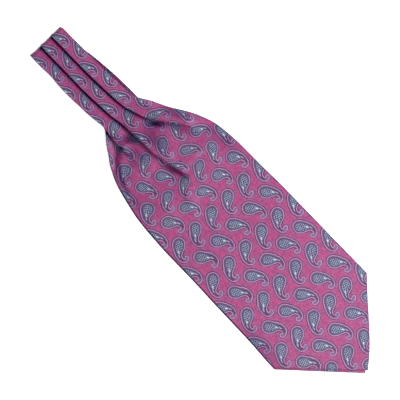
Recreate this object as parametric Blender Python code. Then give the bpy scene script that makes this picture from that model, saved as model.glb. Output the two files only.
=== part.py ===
"""A silk day cravat, folded in two at the middle of its pleated neckband and laid flat.

X runs along the cravat, from the neckband's fold at -X to the blade's point at +X. Y runs across it
and Z up from the surface it lies on. Sizes are in millimetres, and the meshes are made in metres.
"""

import math
from typing import NamedTuple

import bpy
import numpy as np

# Driving sizes, along the cravat from the neckband's fold, and across it from its middle.
LENGTH = 574.0
FOLD_AXIS = 6.1
STITCH_LINE = 131.0
PLEATS_END = 262.0

# The cloth, and the hidden half beneath it.
CLOTH = 1.0
GAP = 0.3
BLADE_UNDER_THICK = 1.3
BAND_UNDER_THICK = 2.6
BAND_EDGE_RISE = 1.4
FULL_TURN_DEPTH = 3.0
TURN_STEPS = 3
RUN_STEPS = 2
STRIP_STEPS = 5
UNDER_STEPS = 10
MM = 0.001


class Section(NamedTuple):
    """The upper cloth across the cravat at one place: its edges, the fold edge of each knife pleat
    with how far the pleat runs back beneath it, and the radius that the cloth folds at."""

    along: float
    right: float
    fold_a: float
    depth_a: float
    fold_b: float
    depth_b: float
    fold_c: float
    depth_c: float
    left: float
    radius: float


SECTIONS = [
    Section(0, 25.3, 7.2, 15.5, -10.3, 15.0, -27.5, 14.5, -26.7, 0.65),
    Section(25, 25.5, 7.1, 15.5, -10.7, 15.0, -28.2, 14.5, -27.4, 0.65),
    Section(50, 25.7, 7.0, 15.5, -10.7, 15.0, -28.8, 14.5, -28.0, 0.65),
    Section(75, 26.3, 7.0, 15.5, -11.0, 15.0, -28.8, 14.5, -28.0, 0.65),
    Section(100, 27.6, 8.1, 15.5, -10.0, 15.0, -27.7, 14.5, -26.9, 0.65),
    Section(115, 28.4, 9.7, 15.5, -9.2, 15.0, -26.4, 14.0, -25.6, 0.65),
    Section(125, 29.8, 11.0, 15.3, -8.4, 15.0, -24.6, 13.0, -23.9, 0.68),
    Section(131, 33.2, 12.2, 15.0, -7.2, 15.0, -24.5, 12.0, -26.2, 0.75),
    Section(138, 37.4, 14.6, 14.5, -6.6, 14.6, -25.4, 9.0, -32.6, 0.95),
    Section(148, 42.7, 17.6, 13.8, -6.1, 14.0, -26.6, 6.0, -40.3, 1.3),
    Section(158, 47.3, 21.6, 12.5, -5.6, 13.0, -27.5, 3.6, -46.6, 1.6),
    Section(168, 52.6, 28.2, 10.5, -4.4, 11.3, -26.8, 1.6, -53.3, 1.7),
    Section(180, 60.2, 37.2, 7.5, -3.6, 9.6, -25.0, 0.4, -57.8, 1.6),
    Section(192, 67.0, 46.2, 3.5, -3.5, 8.2, -25.0, 0.0, -62.6, 1.4),
    Section(206, 73.5, 55.0, 0.2, -2.5, 6.3, -26.0, 0.0, -66.2, 1.2),
    Section(223, 79.0, 60.0, 0.0, 1.6, 3.0, -28.0, 0.0, -70.3, 1.0),
    Section(240, 81.0, 60.0, 0.0, 5.8, 0.4, -30.0, 0.0, -73.4, 0.8),
    Section(262, 82.4, 60.0, 0.0, 7.0, 0.0, -32.0, 0.0, -75.2, 0.65),
    Section(300, 82.9, 60.0, 0.0, 10.0, 0.0, -32.0, 0.0, -76.8, 0.65),
    Section(385, 83.3, 60.0, 0.0, 10.0, 0.0, -32.0, 0.0, -79.2, 0.65),
    Section(490, 83.4, 60.0, 0.0, 10.0, 0.0, -32.0, 0.0, -82.4, 0.65),
]


class Hem(NamedTuple):
    """A blade's pointed hem: where its point lies, and how far along its two corners are."""

    point_along: float
    point_across: float
    corner_right: float
    corner_left: float


FRONT_HEM = Hem(573.2, -0.3, 486.0, 487.5)
UNDER_HEM = Hem(573.6, -5.0, 484.0, 488.3)


class Roll(NamedTuple):
    """A soft roll of cloth that stands up along a bent line from start to end."""

    start: tuple
    bend: tuple
    end: tuple
    height: float
    half_width: float


ROLLS = [
    Roll((134, 28), (170, 45), (216, 68), 2.6, 8.0),
    Roll((134, 4), (180, 14), (232, 34), 2.4, 12.0),
    Roll((134, -15), (165, -18), (212, -16), 2.2, 8.0),
    Roll((132, -28), (158, -46), (216, -66), 3.2, 7.0),
    Roll((205, -26), (235, -40), (285, -46), 1.6, 16.0),
    Roll((215, 18), (255, 16), (330, 8), 1.5, 24.0),
    Roll((300, -30), (350, -40), (420, -36), 0.9, 20.0),
    Roll((330, 45), (390, 48), (450, 40), 0.9, 18.0),
]


class Peek(NamedTuple):
    """How far the hidden half shows past the upper one's right and left edges, or is set back."""

    along: float
    right: float
    left: float


PEEKS = [
    Peek(0, -0.3, -1.2),
    Peek(30, 0.3, -1.2),
    Peek(50, 2.2, -1.2),
    Peek(65, 3.6, -1.2),
    Peek(90, 4.2, -1.2),
    Peek(115, 3.7, -1.2),
    Peek(131, 0.2, -1.8),
    Peek(145, -2.0, -2.5),
    Peek(165, -2.5, -1.5),
    Peek(180, -2.0, 1.1),
    Peek(210, -1.5, 1.3),
    Peek(240, -1.2, 0.9),
    Peek(490, -1.2, 0.9),
]

# Edge profiles: how far each line of the rim stands out, in cloth thicknesses, and how high it lies.
ROUNDED_EDGE = [(0.45, 0.5)]
TWO_PLY_EDGE = [(0.3, 0.18), (0.38, 0.34), (0.12, 0.5), (0.38, 0.66), (0.3, 0.82)]
STACKED_EDGE = [(0.45, 0.14), (0.6, 0.25), (0.2, 0.36), (0.65, 0.5), (0.2, 0.64), (0.6, 0.75), (0.45, 0.86)]

SILK = (0.48, 0.06, 0.22, 1.0)
SILK_SHADE = (0.30, 0.04, 0.14, 1.0)


def smooth_step(value, low, high):
    """0 below low, 1 above high, and an even rise between."""
    t = np.clip((np.asarray(value, float) - low) / (high - low), 0.0, 1.0)
    return t * t * (3.0 - 2.0 * t)


def column(rows, name, along):
    """One column of a table at any distance along, on a curve that never overshoots its rows."""
    xs = np.array([row.along for row in rows], float)
    ys = np.array([getattr(row, name) for row in rows], float)
    slopes = np.diff(ys) / np.diff(xs)
    before, after = slopes[:-1], slopes[1:]
    tangents = np.zeros_like(ys)
    rising_through = before * after > 0
    tangents[1:-1][rising_through] = (2.0 * before * after)[rising_through] / (before + after)[rising_through]
    along = np.clip(np.asarray(along, float), xs[0], xs[-1])
    k = np.clip(np.searchsorted(xs, along) - 1, 0, len(xs) - 2)
    step = xs[k + 1] - xs[k]
    t = (along - xs[k]) / step
    ends = ys[k] * (1 + 2 * t) * (1 - t) ** 2 + ys[k + 1] * t * t * (3 - 2 * t)
    return ends + step * (tangents[k] * t * (1 - t) ** 2 + tangents[k + 1] * t * t * (t - 1))


def roll_height(roll, x, y, samples=25):
    """Height that a roll adds at a point: rounded across its line, and fading at both its ends."""
    t = np.linspace(0.0, 1.0, samples)[:, None]
    start, bend, end = (np.array(place, float) for place in (roll.start, roll.bend, roll.end))
    line = start * (1 - t) ** 2 + bend * 2 * t * (1 - t) + end * t * t
    distance = np.hypot(np.asarray(x)[..., None] - line[:, 0], np.asarray(y)[..., None] - line[:, 1])
    fade = np.sin(math.pi * np.linspace(0.0, 1.0, samples))[distance.argmin(axis=-1)]
    return roll.height * fade * np.exp(-((distance.min(axis=-1) / roll.half_width) ** 2))


def under_top(x, y):
    """Top of the hidden half: its pleats stack up in the neckband and thin out down the blade."""
    from_middle = np.abs(y - 2.0)
    right, left = smooth_step(y, 25.0, 31.0), 1.0 - smooth_step(y, -24.0, -15.0)
    in_band = smooth_step(x, 9.0, 22.0) * (1.0 - smooth_step(x, STITCH_LINE - 12.0, STITCH_LINE))
    edges = BAND_EDGE_RISE * (right + left) * in_band
    down_blade = smooth_step(x, STITCH_LINE, 215.0)
    to_sides = smooth_step(from_middle, 31.0, 54.0) * smooth_step(x, STITCH_LINE - 1.0, STITCH_LINE + 12.0)
    stacked = (1.0 - down_blade) * (1.0 - to_sides)
    return BLADE_UNDER_THICK + (BAND_UNDER_THICK - BLADE_UNDER_THICK) * stacked + edges


def resting_height(x, y):
    """Middle of the upper cloth where it lies singly on the hidden half, with its soft rolls."""
    stack = BLADE_UNDER_THICK + (BAND_UNDER_THICK - BLADE_UNDER_THICK) * (1.0 - smooth_step(x, 150.0, 215.0))
    height = stack + GAP + CLOTH / 2
    for roll in ROLLS:
        height = height + roll_height(roll, x, y)
    return height


def pleat_path(fold, depth, radius, spread):
    """Where a pleat starts, and its steps across and up: round the fold edge, back beneath it, and
    round again. An open pleat turns less, and a flat one runs straight on."""
    turn = math.pi * min(1.0, depth / FULL_TURN_DEPTH)
    arc = max(radius * turn, spread)
    run = max(depth, spread)
    half_steps = (np.arange(TURN_STEPS) + 0.5) / TURN_STEPS * turn
    angles = np.concatenate([half_steps, np.full(RUN_STEPS, turn), turn - half_steps])
    half = turn / TURN_STEPS / 2
    chord = arc / TURN_STEPS * (math.sin(half) / half if half > 0 else 1.0)
    lengths = np.concatenate([
        np.full(TURN_STEPS, chord), np.full(RUN_STEPS, run / RUN_STEPS), np.full(TURN_STEPS, chord)
    ])
    reach = arc / turn * math.sin(min(turn, math.pi / 2)) if turn > 0 else 0.0
    return fold + reach, -np.cumsum(lengths * np.cos(angles)), -np.cumsum(lengths * np.sin(angles))


def section_line(along):
    """The upper cloth across one section, from its right edge to its left: points across and up."""
    row = Section(along, *(float(column(SECTIONS, name, along)) for name in Section._fields[1:]))
    spread = 1.6 + 4.0 * float(smooth_step(along, 215.0, 300.0))
    across, up, drops = [np.array([row.right])], [np.array([0.0])], []
    for fold, depth in ((row.fold_a, row.depth_a), (row.fold_b, row.depth_b), (row.fold_c, row.depth_c)):
        start, side, fall = pleat_path(fold, depth, row.radius, spread)
        level = up[-1][-1]
        across += [np.linspace(across[-1][-1], start, STRIP_STEPS + 1)[1:], start + side]
        up += [np.full(STRIP_STEPS, level), level + fall]
        drops.append((fold + depth, -fall[-1]))
    across.append(np.linspace(across[-1][-1], row.left, STRIP_STEPS + 1)[1:])
    up.append(np.full(STRIP_STEPS, up[-1][-1]))
    across, up = np.concatenate(across), np.concatenate(up)
    return across, level_pleats(across, up, drops, row)


def level_pleats(across, up, drops, row):
    """Let each strip down on what lies beneath: evenly like shingles where the pleats are pressed
    flat, and just past each inner fold where they have opened into tubes."""
    opened = float(np.clip((row.radius - 0.65) / 0.9, 0.0, 1.0))
    width = 6.0 + 8.0 * opened
    total = sum(drop for _, drop in drops)
    even = total * (across - row.left) / (row.right - row.left)
    stepped = sum(drop * smooth_step(across, inner, inner + width) for inner, drop in drops)
    up = up + total - (1.0 - opened) * even - opened * stepped
    return up - up.min()


def pointed_row(part, shares, edges, hem):
    """One row of a blade's lower end, which turns into the pointed hem as part goes from 0 to 1.

    shares are the columns' places across, from 0 at the right edge to 1 at the left."""
    right, left = float(edges(hem.corner_right)[0]), float(edges(hem.corner_left)[1])
    point = (right - hem.point_across) / (right - left)
    nearest = shares[np.abs(shares - point).argmin()]
    to_point = np.interp(shares, [0.0, nearest, 1.0], [0.0, point, 1.0])
    shares = shares + (to_point - shares) * part
    corners = [hem.corner_right, hem.point_along, hem.corner_left]
    x = PLEATS_END + part * (np.interp(shares, [0.0, point, 1.0], corners) - PLEATS_END)
    right, left = edges(x)
    return x, right - shares * (right - left)


def upper_edges(x):
    """Right and left edge of the upper cloth."""
    return column(SECTIONS, "right", x), column(SECTIONS, "left", x)


def under_edges(x):
    """Right and left edge of the hidden half."""
    right, left = upper_edges(x)
    outer_fold = np.where(np.asarray(x) < STITCH_LINE, column(SECTIONS, "fold_c", x), left)
    return right + column(PEEKS, "right", x), outer_fold - column(PEEKS, "left", x)


def closed_cloth(name, top, bottom, rim, standing=(1.0, 1.0, 1.0, 1.0), colour=SILK):
    """One closed wall between two grids of points, with a rim round its four edges.

    standing says how far the rim stands out at the first row, last row, right and left."""
    rows, columns = top.shape[:2]
    at_row = lambda r: [(r, c) for c in range(columns)]
    at_column = lambda c: [(r, c) for r in range(rows)]
    loop = at_row(0)[:-1] + at_column(columns - 1)[:-1] + at_row(rows - 1)[:0:-1] + at_column(0)[:0:-1]
    middle = (top + bottom) / 2
    away = np.zeros_like(middle)
    for (r, c), inner, share in (
        ((0, slice(None)), (1, slice(None)), standing[0]),
        ((-1, slice(None)), (-2, slice(None)), standing[1]),
        ((slice(None), 0), (slice(None), 1), standing[2]),
        ((slice(None), -1), (slice(None), -2), standing[3]),
    ):
        step = middle[r, c] - middle[inner]
        length = np.linalg.norm(step, axis=-1, keepdims=True)
        away[r, c] += share * step / np.maximum(length, 1e-9)
    points = [tuple(p) for p in top.reshape(-1, 3)] + [tuple(p) for p in bottom.reshape(-1, 3)]
    under = rows * columns
    index = lambda r, c: r * columns + c
    faces = []
    for r in range(rows - 1):
        for c in range(columns - 1):
            quad = (index(r, c), index(r, c + 1), index(r + 1, c + 1), index(r + 1, c))
            faces.append(quad)
            faces.append(tuple(under + i for i in quad[::-1]))
    levels = [[under + index(r, c) for r, c in loop]]
    for out, height in rim:
        levels.append(list(range(len(points), len(points) + len(loop))))
        for r, c in loop:
            level = bottom[r, c] + (top[r, c] - bottom[r, c]) * height
            points.append(tuple(level + away[r, c] * out * CLOTH))
    levels.append([index(r, c) for r, c in loop])
    for lower, upper in zip(levels, levels[1:]):
        for i in range(len(loop)):
            j = (i + 1) % len(loop)
            faces.append((lower[i], lower[j], upper[j], upper[i]))
    mesh = bpy.data.meshes.new(name)
    mesh.from_pydata([((x - LENGTH / 2) * MM, y * MM, z * MM) for x, y, z in points], [], faces)
    mesh.validate()
    mesh.shade_smooth()
    mesh.set_sharp_from_angle(angle=math.radians(50))
    piece = bpy.data.objects.new(name, mesh)
    bpy.context.collection.objects.link(piece)
    mesh.materials.append(silk(name + "_silk", colour))
    return piece


def silk(name, colour):
    """The cloth's own material."""
    material = bpy.data.materials.new(name)
    material.use_nodes = True
    shader = material.node_tree.nodes["Principled BSDF"]
    shader.inputs["Base Color"].default_value = colour
    shader.inputs["Roughness"].default_value = 0.45
    shader.inputs["Metallic"].default_value = 0.0
    return material


def wall_sides(middle):
    """The two faces of a wall of cloth, half its thickness to each side of the grid of its middle."""
    down = np.gradient(middle, axis=0)
    across = np.gradient(middle, axis=1)
    normal = np.cross(across, down)
    normal /= np.maximum(np.linalg.norm(normal, axis=-1, keepdims=True), 1e-9)
    return middle + normal * CLOTH / 2, middle - normal * CLOTH / 2


def upper_row(along):
    """Middle of the upper cloth at one section, pleats and rolls and all."""
    across, up = section_line(along)
    x = np.full_like(across, along)
    return np.stack([x, across, resting_height(x, across) + up], axis=-1)


def blade_front():
    """The wide front blade: its pleats open out below the stitch line, and it ends in a point."""
    first = STITCH_LINE + GAP / 2 + CLOTH * 0.45
    opening = [134, 138, 143, 148, 153, 158, 163, 168, 174, 180, 186, 192, 199, 206, 214, 223, 232, 242]
    rows = [upper_row(along) for along in [first] + opening]
    for part in np.linspace(0.0, 1.0, 11):
        across, _ = section_line(PLEATS_END + part * (LENGTH - PLEATS_END))
        shares = (across[0] - across) / (across[0] - across[-1])
        x, y = pointed_row(part, shares, upper_edges, FRONT_HEM)
        rows.append(np.stack([x, y, resting_height(x, y)], axis=-1))
    top, bottom = wall_sides(np.array(rows))
    return closed_cloth("blade_front", top, bottom, ROUNDED_EDGE)


def neckband_front():
    """The upper half of the pleated neckband, turning down over the fold at its end."""
    last = STITCH_LINE - GAP / 2 - CLOTH * 0.45
    axis_up = BAND_UNDER_THICK + GAP / 2
    flat = upper_row(FOLD_AXIS)
    out = flat[:, 2] - axis_up
    rows = []
    for angle in np.radians([90.0, 72.0, 54.0, 36.0, 18.0]):
        x = FOLD_AXIS - out * math.sin(angle)
        rows.append(np.stack([x, flat[:, 1], axis_up + out * math.cos(angle)], axis=-1))
    rows += [upper_row(along) for along in (FOLD_AXIS, 18, 32, 50, 68, 86, 104, 117, last)]
    top, bottom = wall_sides(np.array(rows))
    for side in (top, bottom):
        side[0, :, 2] = axis_up + GAP / 2
    return closed_cloth("neckband_front", top, bottom, ROUNDED_EDGE, standing=(0.0, 1.0, 1.0, 1.0))


def under_grid(x, y, top):
    """Top and bottom of a hidden piece, whose underside lies flat on the surface."""
    return np.stack([x, y, top], axis=-1), np.stack([x, y, np.zeros_like(x)], axis=-1)


def neckband_under():
    """The hidden half of the neckband: its pleats as one rounded solid, layered at the edges."""
    last = STITCH_LINE - GAP / 2 - CLOTH * 0.65
    alongs = np.array([0.8, 2.0, 3.8, FOLD_AXIS, 14, 25, 38, 50, 62, 76, 90, 104, 117, 125, last])
    shares = np.linspace(0.0, 1.0, UNDER_STEPS + 1)
    right, left = under_edges(alongs)
    y = right[:, None] - shares * (right - left)[:, None]
    x = np.repeat(alongs[:, None], len(shares), axis=1)
    top, bottom = under_grid(x, y, under_top(x, y))
    from_end = np.clip((x - alongs[0]) / (FOLD_AXIS - alongs[0]), 0.0, 1.0)
    bottom[..., 2] = 0.62 * BAND_UNDER_THICK * (1.0 - np.sqrt(1.0 - (1.0 - from_end) ** 2))
    return closed_cloth("neckband_under", top, bottom, STACKED_EDGE, (0.3, 1.0, 1.0, 1.0), SILK_SHADE)


def blade_under():
    """The other blade, hidden beneath the front one, rounded and layered at its edges."""
    first = STITCH_LINE + GAP / 2 + CLOTH * 0.38
    shares = np.linspace(0.0, 1.0, UNDER_STEPS + 1)
    rows = []
    for along in (first, 136, 142, 150, 160, 170, 180, 192, 206, 223, 242):
        right, left = under_edges(along)
        y = right - shares * (right - left)
        rows.append((np.full_like(y, along), y))
    rows += [pointed_row(part, shares, under_edges, UNDER_HEM) for part in np.linspace(0.0, 1.0, 8)]
    x, y = np.array([row[0] for row in rows]), np.array([row[1] for row in rows])
    top, bottom = under_grid(x, y, under_top(x, y))
    return closed_cloth("blade_under", top, bottom, TWO_PLY_EDGE, colour=SILK_SHADE)


def main():
    for existing in list(bpy.data.objects):
        bpy.data.objects.remove(existing, do_unlink=True)
    blade_front()
    neckband_front()
    neckband_under()
    blade_under()


if __name__ == "__main__":
    main()
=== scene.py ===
"""A silk day cravat, folded in two at the middle of its pleated neckband and laid flat.

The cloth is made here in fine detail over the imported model, in one shared frame: X runs along the
cravat from the neckband's fold to the blade's point, Y across it and Z up from the surface. The tables
are in millimetres and count X from the neckband's fold; the meshes are in metres.
"""

import math
from typing import NamedTuple

import bpy
import numpy as np
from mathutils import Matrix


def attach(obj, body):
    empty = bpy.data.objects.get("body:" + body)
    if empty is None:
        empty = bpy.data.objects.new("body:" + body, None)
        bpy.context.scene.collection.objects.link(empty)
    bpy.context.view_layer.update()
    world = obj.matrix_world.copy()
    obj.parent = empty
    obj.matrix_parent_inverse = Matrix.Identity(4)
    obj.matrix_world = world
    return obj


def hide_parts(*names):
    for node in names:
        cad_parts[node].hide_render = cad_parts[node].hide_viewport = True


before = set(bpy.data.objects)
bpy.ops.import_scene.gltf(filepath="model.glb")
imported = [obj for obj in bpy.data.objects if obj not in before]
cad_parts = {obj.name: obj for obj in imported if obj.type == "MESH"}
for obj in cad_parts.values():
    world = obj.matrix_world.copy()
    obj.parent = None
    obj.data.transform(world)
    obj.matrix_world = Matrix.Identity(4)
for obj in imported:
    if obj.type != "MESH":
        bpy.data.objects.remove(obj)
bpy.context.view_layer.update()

bl_info = {
    "name": "Folded silk cravat",
    "version": (1, 0, 0),
    "blender": (4, 5, 0),
    "location": "3D View > Sidebar > Cravat",
    "description": "Makes the cloth, stitches and studio of a folded silk cravat",
    "category": "Add Mesh",
}

MM = 0.001
# One unit of the UV map is this many millimetres of cloth.
UV_SPAN = 100.0
SHORTEST = 1e-9

# Heights: the air between the two halves, the middle of a cloth that rests, and the deepest trough.
GAP = 0.3
RESTING_MIDDLE = 0.5
DEEPEST_TROUGH = -0.25

# A fold is pressed flat at the first radius, and fully open where its radius is larger by the second. A
# pleat deeper than the full turn's depth runs right back beneath its edge.
PRESSED_RADIUS = 0.65
OPENING = 0.9
FULL_TURN_DEPTH = 3.0
PLEAT_SPREAD = 1.6
BLADE_SPREAD = 4.0
BULGE_LEAN = 1.7

# How many steps and rows the upper cloth has in each of its parts.
TURN_STEPS = 5
RUN_STEPS = 3
STRIP_STEPS = (12, 24, 20, 24)
PLEAT_POINTS = 2 * TURN_STEPS + RUN_STEPS
FOLD_ROWS = 22
BAND_ROWS = 66
FLARE_ROWS = 88
BLADE_ROWS = 150
UNDER_COLUMNS = 91

# The turn at the fold: its first and last angle in degrees, and how far down the tucked end reaches.
FOLD_ANGLES = (118.0, 6.0)
TUCK_REACH = 1.6

# Places along and across between which a form rises or dies out.
BLADE_START = (215.0, 300.0)
STACK_END = (150.0, 215.0)
HIDDEN_PLEATS_END = (150.0, 222.0)
BAND_START = (9.0, 22.0)
RIGHT_OF_STRIPS = (25.0, 31.0)
LEFT_OF_STRIPS = (-24.0, -15.0)
SIDES_OF_STACK = (31.0, 54.0)
STACK_MIDDLE = 2.0

# Painted shade: how dark the cloth is painted at its rims, along the blade's left edge, at the fold,
# and in a pleat, which is dark from the first depth and as dark as it gets from the second.
RIM_SHADE = 0.75
EDGE_LINE = 0.6
EDGE_SHADE = 0.75
EDGE_START = (150.0, 190.0)
FOLD_SHADE = 0.2
DARK_FROM_DEPTHS = ((9.0, 15.5), (0.0, 15.0), (0.0, 9.0))
DARK_RISE = 6.0


class Section(NamedTuple):
    """The upper cloth across the cravat at one place: its edges, the fold edge of each knife pleat
    with how far the pleat runs back beneath it, and the radius that the cloth folds at."""

    along: float
    right: float
    fold_a: float
    depth_a: float
    fold_b: float
    depth_b: float
    fold_c: float
    depth_c: float
    left: float
    radius: float


SECTIONS = [
    Section(0, 24.4, 8.6, 15.5, -9.3, 15.0, -26.7, 14.5, -25.9, 0.65),
    Section(12, 25.0, 8.6, 15.5, -9.5, 15.0, -27.5, 14.5, -26.7, 0.65),
    Section(25, 25.3, 8.5, 15.5, -9.7, 15.0, -27.3, 14.5, -26.5, 0.65),
    Section(36, 25.6, 8.4, 15.5, -9.7, 15.0, -26.7, 14.5, -25.9, 0.65),
    Section(50, 25.7, 8.4, 15.5, -9.7, 15.0, -27.8, 14.5, -27.0, 0.65),
    Section(62, 25.9, 8.5, 15.5, -9.9, 15.0, -28.2, 14.5, -27.4, 0.65),
    Section(75, 26.3, 8.8, 15.5, -10.0, 15.0, -28.1, 14.5, -27.3, 0.65),
    Section(88, 27.0, 9.3, 15.5, -9.6, 15.0, -27.4, 14.5, -26.6, 0.65),
    Section(100, 27.6, 9.9, 15.5, -9.0, 15.0, -27.0, 14.5, -26.2, 0.65),
    Section(115, 28.4, 10.8, 15.5, -8.2, 15.0, -25.6, 14.0, -24.8, 0.65),
    Section(125, 29.6, 11.8, 15.3, -7.5, 15.0, -24.2, 13.0, -23.5, 0.68),
    Section(131, 31.7, 12.8, 15.0, -6.5, 15.0, -24.0, 12.0, -25.0, 0.75),
    Section(138, 35.8, 15.2, 14.5, -5.3, 14.6, -24.9, 9.0, -30.1, 0.95),
    Section(148, 42.0, 18.3, 13.8, -4.2, 14.0, -26.0, 6.0, -38.0, 1.3),
    Section(158, 46.7, 22.2, 12.5, -4.2, 13.0, -27.2, 3.6, -44.4, 1.6),
    Section(168, 52.0, 28.2, 10.5, -3.6, 11.3, -27.4, 1.6, -51.6, 1.7),
    Section(180, 59.7, 37.2, 7.5, -2.8, 9.6, -25.0, 0.4, -57.3, 1.6),
    Section(192, 66.8, 46.2, 3.5, -2.8, 8.2, -25.0, 0.0, -61.9, 1.4),
    Section(206, 73.3, 55.0, 0.2, 0.0, 6.3, -26.0, 0.0, -65.7, 1.2),
    Section(223, 78.7, 60.0, 0.0, 3.0, 3.0, -28.0, 0.0, -69.6, 1.0),
    Section(240, 81.0, 60.0, 0.0, 6.5, 0.4, -30.0, 0.0, -72.9, 0.8),
    Section(262, 82.5, 60.0, 0.0, 7.0, 0.0, -32.0, 0.0, -75.0, 0.65),
    Section(300, 82.8, 60.0, 0.0, 10.0, 0.0, -32.0, 0.0, -76.7, 0.65),
    Section(336, 83.7, 60.0, 0.0, 10.0, 0.0, -32.0, 0.0, -76.9, 0.65),
    Section(385, 83.6, 60.0, 0.0, 10.0, 0.0, -32.0, 0.0, -78.2, 0.65),
    Section(445, 83.3, 60.0, 0.0, 10.0, 0.0, -32.0, 0.0, -79.5, 0.65),
    Section(490, 83.3, 60.0, 0.0, 10.0, 0.0, -32.0, 0.0, -81.6, 0.65),
]


class Hem(NamedTuple):
    """A blade's pointed hem: where its point lies, how far along its two corners are, and how far the
    hem bulges between the point and each corner."""

    point_along: float
    point_across: float
    corner_right: float
    corner_left: float
    bulge_right: float
    bulge_left: float


FRONT_HEM = Hem(573.2, -0.3, 486.0, 489.6, 4.0, 0.4)
UNDER_HEM = Hem(573.6, -5.0, 484.0, 491.8, 3.0, 0.2)


class Crease(NamedTuple):
    """A soft roll or trough of cloth along a bent line from start to end. A trough's height is below 0."""

    start: tuple
    bend: tuple
    end: tuple
    height: float
    half_width: float


ROLLS = [
    Crease((134, 28), (170, 45), (216, 68), 2.6, 8.0),
    Crease((134, 4), (180, 14), (232, 34), 2.4, 12.0),
    Crease((134, -15), (165, -18), (212, -16), 2.2, 8.0),
    Crease((132, -28), (158, -46), (216, -66), 3.2, 7.0),
    Crease((205, -26), (235, -40), (285, -46), 1.6, 16.0),
    Crease((215, 18), (255, 16), (330, 8), 1.5, 24.0),
    Crease((300, -30), (350, -40), (420, -36), 0.9, 20.0),
    Crease((330, 45), (390, 48), (450, 40), 0.9, 18.0),
    Crease((252, 100), (259, 0), (256, -100), 1.0, 13.0),
]

CREASES = [
    Crease((156, -24), (168, -42), (182, -62), -2.8, 3.6),
    Crease((150, -38), (168, -52), (205, -68), 1.4, 3.2),
    Crease((152, 18), (166, 19), (186, 28), -1.6, 4.5),
    Crease((148, -10), (160, -10), (178, -12), -1.8, 4.5),
    Crease((150, -28), (163, -27), (180, -26), -1.6, 4.0),
    Crease((212, -3), (226, 0), (246, 2), -1.7, 5.0),
    Crease((206, 50), (236, 58), (280, 58), -1.2, 7.0),
    Crease((150, 39), (176, 53), (204, 68), -1.4, 3.0),
    Crease((246, 2), (268, -10), (294, -24), 1.9, 8.0),
    Crease((196, 22), (232, 26), (268, 24), -0.8, 7.0),
    Crease((176, -22), (206, -26), (246, -30), -0.9, 5.0),
]


class Shadow(Crease):
    """Painted shadow, how dark the cloth is painted along a bent line: in a hollow where a pleat opens,
    beside a fold, or in a broad darker band across the blade.
    """


SHADOWS = [
    Shadow((159, 14), (170, 25), (183, 36), 1.0, 5.2),
    Shadow((150, -23), (161, -14), (174, -1), 0.75, 7.6),
    Shadow((154, -26), (165, -33), (174, -46), 0.7, 6.0),
    Shadow((154, -22), (180, -60), (230, -63), 0.75, 4.2),
    Shadow((154, -28.5), (162, -28), (173, -25), 1.0, 2.4),
    Shadow((160, -33), (168, -40), (177, -51), 0.75, 3.2),
    Shadow((154, 40), (176, 51), (200, 59), 0.55, 6.0),
    Shadow((172, 32), (196, 45), (222, 54), 0.36, 7.0),
    Shadow((164, 24), (188, 41), (216, 58), 0.5, 2.8),
    Shadow((156, 14), (180, 12), (214, 8), 0.68, 9.0),
    Shadow((156, -18), (176, -18), (206, -12), 0.5, 7.5),
    Shadow((162, -24), (178, -28), (204, -30), 0.42, 5.5),
    Shadow((204, -6), (227, 0), (251, 10), 0.8, 4.6),
    Shadow((204, -50), (222, -62), (248, -70), 0.25, 7.0),
    Shadow((214, 62), (240, 72), (270, 78), 0.3, 9.0),
    Shadow((172, -34), (192, -47), (216, -53), 0.22, 7.0),
    Shadow((224, 108), (242, 0), (236, -110), 0.11, 17.0),
    Shadow((420, -70), (462, -76), (512, -78), 0.26, 9.0),
    Shadow((520, 60), (574, 0), (520, -60), 0.09, 14.0),
]


class Lie(NamedTuple):
    """How the woven pattern lies where the cloth is gathered into the neckband: how much of its length
    is taken up at the middle, how the rows of drops bow across it in thousandths, and how far the
    pattern is moved across in each strip."""

    along: float
    taken_up: float
    bow: float
    strip_a: float
    strip_b: float
    strip_c: float


LIES = [
    Lie(0, 46.0, 0.0, 56.0, 19.0, -17.7),
    Lie(25, 41.7, 0.0, 55.8, 19.3, -17.7),
    Lie(50, 36.2, 0.0, 55.5, 18.3, -16.9),
    Lie(75, 31.9, 0.0, 55.8, 18.5, -17.0),
    Lie(100, 27.0, 0.0, 53.8, 17.3, -18.5),
    Lie(120, 24.5, 0.5, 51.0, 16.8, -18.2),
    Lie(140, 22.2, 5.0, 44.5, 15.0, -17.8),
    Lie(155, 20.9, 6.0, 36.8, 13.3, -17.8),
    Lie(170, 20.2, 6.0, 28.0, 13.1, -17.2),
    Lie(185, 19.3, 4.8, 19.0, 13.0, -16.6),
    Lie(200, 18.4, 4.5, 13.8, 11.2, -13.5),
    Lie(215, 17.6, 4.3, 8.6, 7.4, -8.2),
    Lie(230, 14.5, 3.6, 4.0, 4.0, -4.4),
    Lie(245, 11.0, 2.5, -0.8, -1.2, -3.2),
    Lie(260, 6.6, 1.5, -0.9, -1.4, -2.0),
    Lie(275, 2.9, 0.8, 0.4, 0.2, -0.4),
    Lie(295, 0.6, 0.1, 0.2, 0.2, 0.1),
    Lie(320, 0.0, 0.0, 0.0, 0.0, 0.0),
]
BOW_UNIT = 0.001
BOW_MIDDLE = 4.0
BOW_REACH = 75.0
LAST_STRIP_MOVE = 2.3


class Peek(NamedTuple):
    """How far the hidden half shows past the upper one's right and left edges, or is set back."""

    along: float
    right: float
    left: float


PEEKS = [
    Peek(0, -0.3, -1.2),
    Peek(40, 0.0, -1.2),
    Peek(52, 1.6, -1.2),
    Peek(65, 3.0, -1.2),
    Peek(90, 4.0, -1.2),
    Peek(115, 3.6, -1.2),
    Peek(126, 2.2, -1.4),
    Peek(134, -1.0, -1.8),
    Peek(145, -2.0, -2.5),
    Peek(165, -2.5, -1.5),
    Peek(180, -2.0, 0.7),
    Peek(210, -1.5, 1.0),
    Peek(240, -1.2, 0.9),
    Peek(490, -1.2, 0.9),
]

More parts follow.
